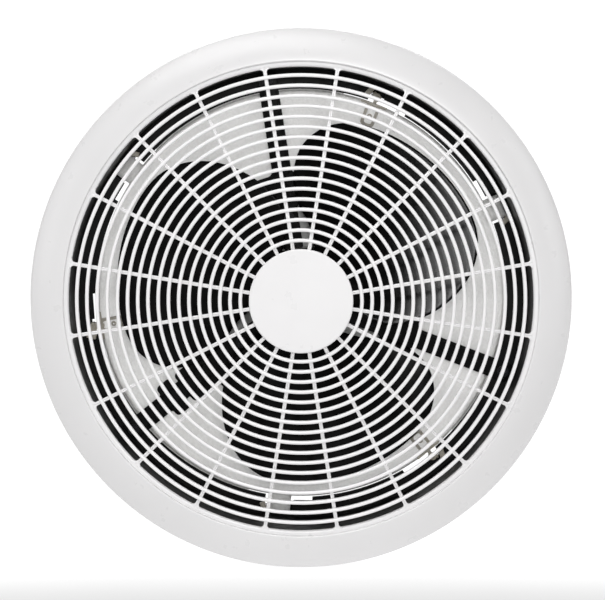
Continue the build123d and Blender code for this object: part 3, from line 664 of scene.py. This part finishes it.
def petal(s, turn):
    """A helical sheet with rounded edges, thinner at the tip."""
    outline = smooth_loop([at(r * MM, a) for a, r in PETAL], 220)
    middle_angle, middle_y, rise = 37.5, 27.3 * MM, 0.265 * MM
    centre = np.array(at(76 * MM, middle_angle))
    edge = [1.0, 0.998, 0.992, 0.982, 0.968]
    shares = edge + [0.94, 0.88, 0.8, 0.7, 0.58, 0.45, 0.32, 0.2, 0.1, 0.03]
    lift = [0.0, 0.45, 0.75, 0.93, 1.0] + [1.0] * (len(shares) - len(edge))
    c, d = math.cos(math.radians(turn)), math.sin(math.radians(turn))

    def place(share, side, thick):
        loop = []
        for x, z in centre + (outline - centre) * share:
            radius = math.hypot(x, z)
            angle = math.degrees(math.atan2(z, x))
            y = middle_y + rise * (angle - middle_angle)
            half = 1.5 * MM - 0.6 * MM * min(1, max(0, (radius / MM - 30) / 98))
            loop.append((x * c - z * d, y + side * half * thick, x * d + z * c))
        return loop

    loops = [place(k, -1, t) for k, t in zip(reversed(shares), reversed(lift))]
    loops += [place(k, 1, t) for k, t in zip(shares[1:], lift[1:])]
    rows = s.strip(loops)
    s.mesh.faces.new(rows[0])
    s.mesh.faces.new(rows[-1])


def impeller():
    """Hub, ribs and three petals."""
    s = Shape()
    y, r = front("impeller"), 33 * MM
    profile = [(4.03 * MM, y), (r - 3 * MM, y)]
    profile += arc((r - 3 * MM, y + 3 * MM), 3 * MM, 270, 360, 8)[1:]
    profile += [(r, 40.7 * MM), (r - 0.3 * MM, 41 * MM), (r - 2.7 * MM, 41 * MM), (r - 3 * MM, 40.7 * MM)]
    profile += [(r - 3 * MM, y + 4 * MM), (r - 4 * MM, y + 3 * MM), (9.5 * MM, y + 3 * MM)]
    profile += [(9.5 * MM, 38.7 * MM), (9.2 * MM, 39 * MM), (4.03 * MM, 39 * MM)]
    s.lathe(profile, 240)
    for i in range(6):
        rib = placed(rounded(oblong(23 * MM, 1.8 * MM, 0.3 * MM)), 60 * i + 30, 19.5 * MM)
        s.plate(rib, y + 2 * MM, 34 * MM, 0.3 * MM)
    for turn in (0, 120, 240):
        petal(s, turn)
    return s.done("impeller_moulding", "rotor", ["impeller"], GLOSS)


def nut():
    """The lobed nut, with soft lobes and a domed face."""
    y, r = front("impeller_nut"), outer_radius("impeller_nut")
    points = []
    for i in range(180):
        points.append(at(r - 0.9 * MM + 0.85 * MM * math.cos(math.radians(18 * i)), 2 * i))
    s = Shape()
    s.plate(points, y, back("impeller_nut"), 0.9 * MM, 0.4 * MM)
    return s.done("nut", "rotor", ["impeller_nut"], GLOSS)


# Bracket ------------------------------------------------------------------------------------------

def bracket():
    """Three arms on a ring, with rails on the arms and a wide foot on one."""
    y, deep = front("motor_bracket") + 1.0 * MM, back("motor_bracket")
    half, ring_out, ring_in, hub = 6.5 * MM, 82 * MM, 62 * MM, 22 * MM
    tip, gusset, foot = 150.5 * MM, 11.75 * MM, 12.2 * MM
    gusset_end, foot_start, foot_end = 102 * MM, 105 * MM, 117 * MM
    screws = (146 * MM, 52 * MM)
    outline = []
    for start in ARMS:
        side = [(math.sqrt(ring_out**2 - half**2), half, 4 * MM), (tip, half, 1.5 * MM)]
        if start == LEAD_ARM:
            side = [
                (math.sqrt(ring_out**2 - gusset**2), gusset, 0), (gusset_end, gusset, 3 * MM),
                (gusset_end, half, 0.6 * MM), (foot_start, half, 0.6 * MM),
                (foot_start, foot, 3 * MM), (foot_end, foot, 3 * MM),
                (foot_end, half, 1.5 * MM), (tip, half, 1.5 * MM),
            ]
        lower = [(x, -t, r) for x, t, r in side]
        outline += placed(lower + side[::-1], start, 0)
        wide = 9.0 if start == LEAD_ARM else 5.0
        next_wide = 9.0 if start + 120 == LEAD_ARM else 5.0
        for p in arc((0, 0), ring_out, start + wide + 3, start + 120 - next_wide - 3, 40):
            outline.append((*p, 0))
    holes = []
    for start in ARMS:
        window = placed([(math.sqrt(hub**2 - half**2), half, 3 * MM)], start, 0)
        window += placed([(math.sqrt(ring_in**2 - half**2), half, 4 * MM)], start, 0)
        window += [(*p, 0) for p in arc((0, 0), ring_in, start + 11, start + 109, 40)]
        window += placed([(math.sqrt(ring_in**2 - half**2), -half, 4 * MM)], start + 120, 0)
        window += placed([(math.sqrt(hub**2 - half**2), -half, 3 * MM)], start + 120, 0)
        window += [(*p, 0) for p in arc((0, 0), hub, start + 92, start + 28, 12)]
        holes.append(rounded(window))
        for radius in screws:
            holes.append(arc(at(radius, start), 2.1 * MM, 0, 360, 24)[:-1])
    holes.append(arc((0, 0), 10 * MM, 0, 360, 64)[:-1])
    s = Shape()
    s.plate(rounded(outline), y, deep, 0.5 * MM, 0.3 * MM, holes)
    for start in ARMS:
        for side in (-1, 1):
            rail = placed(rounded(oblong(56 * MM, 1.2 * MM, 0.5 * MM)), start, 110 * MM, side * 4.7 * MM)
            s.plate(rail, y - 1.0 * MM, y + 0.6 * MM, 0.45 * MM)
    return s.done("bracket", "frame", ["motor_bracket"], GLOSS)


# Shutter ------------------------------------------------------------------------------------------

def flap_outline(start, shrink=0.0):
    """A third of a ring between two arms, with rounded outer corners."""
    border, corner = 4.2 * MM + shrink, 2.5 * MM - shrink
    outer, inner = 137.8 * MM - shrink, 70 * MM + shrink
    offset = border + corner
    reach = math.sqrt((outer - corner)**2 - offset**2)
    turn = math.degrees(math.atan2(offset, reach))
    first = at(math.hypot(reach, offset), start + turn)
    last = at(math.hypot(reach, offset), start + 120 - turn)
    tilt = math.degrees(math.asin(border / inner))
    points = arc((0, 0), inner, start + 120 - tilt, start + tilt, 60)
    points += arc(first, corner, start - 90, start + turn, 14)
    points += arc((0, 0), outer, start + turn, start + 120 - turn, 90)[1:-1]
    points += arc(last, corner, start + 120 - turn, start + 210, 14)
    return points


def flap(side, start):
    """The grained tray, its skirt, the lip behind the outlet's edge, and the hinge tab."""
    name = f"flap_{side}"
    deep = back(name)
    face = front(name) + 1.4 * MM
    s = Shape()
    s.plate(flap_outline(start, 0.06 * MM), face, face + 1.8 * MM, 1.5 * MM, 0.1 * MM, steps=6)
    s.plate(flap_outline(start), face + 1.55 * MM, deep, 0.1 * MM, 0.3 * MM, [flap_outline(start, 1.6 * MM)])
    hinge = start + HINGE_FROM_START
    seal_out, seal_in, y_seal = 140.2 * MM, 136.3 * MM, face + 1.45 * MM
    for low, high in ((start + 2.0, hinge - SEAL_GAP), (hinge + SEAL_GAP, start + 118.0)):
        lip = arc((0, 0), seal_out, low, high, 40) + arc((0, 0), seal_in, high, low, 40)
        s.plate(lip, y_seal, y_seal + 0.7 * MM, 0.2 * MM)
    tab = hinge - HINGE_SPREAD
    reach, wide = 13 * MM, 15.5 * MM
    middle = TAB_END - reach / 2
    block = placed(rounded(oblong(reach, wide, 0.9 * MM)), tab, middle)
    hollow = placed(rounded(oblong(reach - 3.2 * MM, wide - 3.2 * MM, 0.6 * MM)), tab, middle)
    s.plate(block, face - 1.4 * MM, face + 0.5 * MM, 0.7 * MM, 0.1 * MM)
    s.plate(block, face + 0.3 * MM, deep, 0.05 * MM, 0.3 * MM, [hollow])
    return s.done(f"shutter_{side}", name, [name], FLAP)


def hinge_point(hinge, along, depth):
    """A point on a flap's hinge line."""
    radial, tangent = at(1, hinge), at(1, hinge + 90)
    x, z = (radial[i] * HINGE_DISTANCE + tangent[i] * along for i in range(2))
    return x, depth, z


def clip(side, start):
    """The nylon clip: loop, boss, wings, neck, eyelet and knuckle."""
    node = f"hinge_clip_{side}"
    hinge = start + HINGE_FROM_START
    angle = hinge + HINGE_SPREAD
    y = front(node)
    face, eyelet = y + 1.2 * MM, at(142 * MM, angle)
    s = Shape()
    loop = placed(rounded(oblong(16 * MM, 9.6 * MM, 2.6 * MM)), angle, 129.5 * MM)
    gap = placed(rounded(oblong(12.2 * MM, 5.4 * MM, 1.6 * MM)), angle, 129.4 * MM)
    s.plate(loop, y + 0.1 * MM, face, 0.45 * MM, 0.05 * MM, [gap])
    s.post(1.7 * MM, at(128.4 * MM, angle), y + 0.3 * MM, face, 0.4 * MM, bore=0.6 * MM)
    for across in (-5.9 * MM, 5.9 * MM):
        wing = placed(rounded(oblong(1.7 * MM, 7.0 * MM, 0.7 * MM)), angle, 136.7 * MM, across)
        s.plate(wing, y, face, 0.4 * MM, 0.05 * MM)
    neck = placed(rounded(oblong(6.5 * MM, 2.4 * MM, 0.5 * MM)), angle, 138 * MM)
    s.plate(neck, y + 0.15 * MM, face, 0.4 * MM, 0.05 * MM)
    s.post(2.75 * MM, eyelet, y, face, 0.5 * MM, bore=1.4 * MM)
    depth = back(node) - 2.4 * MM
    s.post(2.3 * MM, eyelet, face - 0.2 * MM, depth, 0.1 * MM)
    s.rod(hinge_point(hinge, 51.6 * MM, depth), hinge_point(hinge, 58 * MM, depth), 2.38 * MM, 0.4 * MM)
    return s.done(f"clip_{side}", f"flap_{side}", [node], NYLON)


def lugs():
    """Six blocks that carry the hinge pins."""
    y, deep = front("hinge_lugs"), back("hinge_lugs")
    s = Shape()
    for start in FLAPS.values():
        hinge = start + HINGE_FROM_START
        for low, high in ((-67.4 * MM, -63.9 * MM), (59 * MM, 62.5 * MM)):
            outline = rounded(oblong(6.4 * MM, high - low, 0.5 * MM))
            block = placed(outline, hinge, HINGE_DISTANCE, (low + high) / 2)
            s.plate(block, y, deep, 0.5 * MM)
    return s.done("lug_blocks", "frame", ["hinge_lugs"], NYLON)


# Carried-over nodes -------------------------------------------------------------------------------

def finish_cad_nodes():
    """Give every CAD node that is still shown the material of its slot."""
    slots = {part["node"]: part["material_slot"] for part in frame["record"]["subparts"]}
    for name, node in frame["nodes"].items():
        if node.hide_render:
            continue
        node.data.materials.clear()
        node.data.materials.append(CARRIED[slots[name]])


# Stage --------------------------------------------------------------------------------------------

def stage_material(name, shade, dark=None, span=None):
    """A pale surface that glows a little, so that it stays even behind the object; given a span, its glow
    falls to the dark level along Y as painted shade.
    """
    material = bpy.data.materials.new(name)
    material.use_nodes = True
    tree = material.node_tree
    shader = tree.nodes["Principled BSDF"]
    shader.inputs["Base Color"].default_value = (0.12, 0.12, 0.12, 1)
    shader.inputs["Roughness"].default_value = 0.9
    shader.inputs["Specular IOR Level"].default_value = 0.0
    shader.inputs["Emission Color"].default_value = (1, 1, 1, 1)
    shader.inputs["Emission Strength"].default_value = shade
    if span:
        place = tree.nodes.new("ShaderNodeTexCoord")
        split = tree.nodes.new("ShaderNodeSeparateXYZ")
        # Painted shade: the glow falls from its full strength to the dark level across the span along Y.
        painted_shade_ramp = tree.nodes.new("ShaderNodeMapRange")
        painted_shade_ramp.interpolation_type = "SMOOTHSTEP"
        numbers = (*span, dark, shade)
        for socket, number in zip(("From Min", "From Max", "To Min", "To Max"), numbers):
            painted_shade_ramp.inputs[socket].default_value = number
        tree.links.new(place.outputs["Object"], split.inputs["Vector"])
        tree.links.new(split.outputs["Y"], painted_shade_ramp.inputs["Value"])
        tree.links.new(painted_shade_ramp.outputs["Result"], shader.inputs["Emission Strength"])
    return material


def panel(name, corners, material):
    """A flat stage panel."""
    data = bpy.data.meshes.new(name)
    data.from_pydata(corners, [], [tuple(range(len(corners)))])
    data.materials.append(material)
    obj = bpy.data.objects.new(name, data)
    bpy.context.scene.collection.objects.link(obj)
    return obj


def softbox(name, place, size, power):
    """A rectangular white studio light aimed at the fan."""
    light = bpy.data.lights.new(name, "AREA")
    light.shape = "RECTANGLE"
    light.size, light.size_y = size
    light.energy = power
    obj = bpy.data.objects.new(name, light)
    obj.location = place
    aim = -Vector(place)
    obj.rotation_euler = aim.to_track_quat("-Z", "Y").to_euler()
    bpy.context.scene.collection.objects.link(obj)
    return obj


def room():
    """A pale floor with painted shade towards the front, and a white backdrop far behind."""
    ground = CAD_BOX[0].z - 0.0005
    wide, far = 9.0, 6.0
    # The floor's glow drops from 1.05 far back to 0.66 in front, as painted shade.
    floor = stage_material("floor_pale", 1.05, 0.66, (-0.17, 0.06))
    panel("floor", [(-wide, -wide, ground), (wide, -wide, ground), (wide, wide, ground),
                    (-wide, wide, ground)], floor)
    wall = stage_material("backdrop_white", 1.05)
    panel("backdrop", [(-wide, far, ground), (wide, far, ground), (wide, far, wide),
                       (-wide, far, wide)], wall)


def studio_lights():
    """A high key light, a frontal one that reaches through the grille, sides and back."""
    softbox("key", (-0.5, -1.1, 2.0), (1.8, 1.2), 29)
    softbox("left", (-2.1, -1.0, 0.7), (1.2, 1.6), 7)
    softbox("right", (2.1, -1.0, 0.7), (1.0, 1.4), 8)
    softbox("behind", (0.0, 1.2, 1.4), (1.4, 0.9), 16)
    softbox("front", (0.25, -3.2, 0.75), (0.9, 0.7), 47)
    world = bpy.data.worlds.new("studio")
    world.use_nodes = True
    world.node_tree.nodes["Background"].inputs["Color"].default_value = (1, 1, 1, 1)
    world.node_tree.nodes["Background"].inputs["Strength"].default_value = 0.2
    bpy.context.scene.world = world
    bpy.context.scene.view_settings.view_transform = "Standard"


def camera_eye():
    """A long lens a little above the fan's axis."""
    camera = bpy.data.cameras.new("camera")
    camera.sensor_width = 36
    camera.lens = 162.9
    camera.clip_end = 50
    eye = bpy.data.objects.new("camera", camera)
    rise = math.radians(3.8)
    distance = 1.803
    aim = Vector((0.0009, front("centre_cap"), 0.0009))
    towards = Vector((0, -math.cos(rise), math.sin(rise)))
    eye.location = aim + towards * (distance + front("centre_cap"))
    eye.rotation_euler = (-towards).to_track_quat("-Z", "Y").to_euler()
    bpy.context.scene.collection.objects.link(eye)
    bpy.context.scene.camera = eye


bezel()
grille()
cap()
impeller()
nut()
bracket()
for side, start in FLAPS.items():
    flap(side, start)
    clip(side, start)
lugs()
finish_cad_nodes()
room()
studio_lights()
camera_eye()
